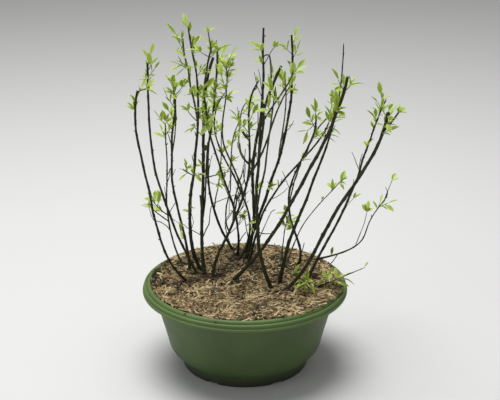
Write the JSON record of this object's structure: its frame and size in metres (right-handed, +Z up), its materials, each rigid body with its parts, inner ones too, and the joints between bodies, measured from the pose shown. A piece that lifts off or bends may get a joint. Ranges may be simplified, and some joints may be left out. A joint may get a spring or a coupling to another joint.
{
  "type": "blueberry bush in a pot",
  "caption": "Young many-stemmed blueberry bush just coming into leaf, in a round bowl planter with a collared rim, filled with wood-chip mulch.",
  "frame": {"origin": "centre of the pot's flat underside, the face that it stands on", "axes": "+Z up along the pot's axis, +Y to the back of the plant, +X to its right"},
  "size_m": [0.4532, 0.3552, 0.63],
  "materials": {
    "pot": "satin moulded green plastic",
    "mulch": "loose shredded wood chips",
    "bark": "dark olive-brown young bark with bud knobs",
    "foliage": "young yellow-green leaves on thin green shoots"
  },
  "bodies": {
    "root": {"back_1_spray": "foliage", "back_1_stem": "bark", "back_2_spray": "foliage", "back_2_stem": "bark", "back_3_side_spray": "foliage", "back_3_spray": "foliage", "back_3_stem": "bark", "back_4_spray": "foliage", "back_4_stem": "bark", "back_5_side_spray": "foliage", "back_5_spray": "foliage", "back_5_stem": "bark", "back_6_side_spray": "foliage", "back_6_spray": "foliage", "back_6_stem": "bark", "left_1_spray": "foliage", "left_1_stem": "bark", "left_2_side_spray": "foliage", "left_2_spray": "foliage", "left_2_stem": "bark", "left_3_spray": "foliage", "left_3_stem": "bark", "left_4_side_spray": "foliage", "left_4_spray": "foliage", "left_4_stem": "bark", "left_5_front_spray": "foliage", "left_5_right_spray": "foliage", "left_5_spray": "foliage", "left_5_stem": "bark", "left_6_side_spray": "foliage", "left_6_spray": "foliage", "left_6_stem": "bark", "low_1_spray": "foliage", "low_2_spray": "foliage", "middle_1_back_spray": "foliage", "middle_1_front_spray": "foliage", "middle_1_left_spray": "foliage", "middle_1_right_spray": "foliage", "middle_1_spray": "foliage", "middle_1_stem": "bark", "middle_2_front_spray": "foliage", "middle_2_right_spray": "foliage", "middle_2_spray": "foliage", "middle_2_stem": "bark", "middle_3_spray": "foliage", "middle_3_stem": "bark", "mulch": "mulch", "pot": "pot", "right_1_spray": "foliage", "right_1_stem": "bark", "right_2_spray": "foliage", "right_2_stem": "bark", "right_3_spray": "foliage", "right_3_stem": "bark", "right_4_spray": "foliage", "right_4_stem": "bark", "right_5_spray": "foliage", "right_5_stem": "bark", "right_6_spray": "foliage", "right_7_spray": "foliage"}
  },
  "joints": []
}
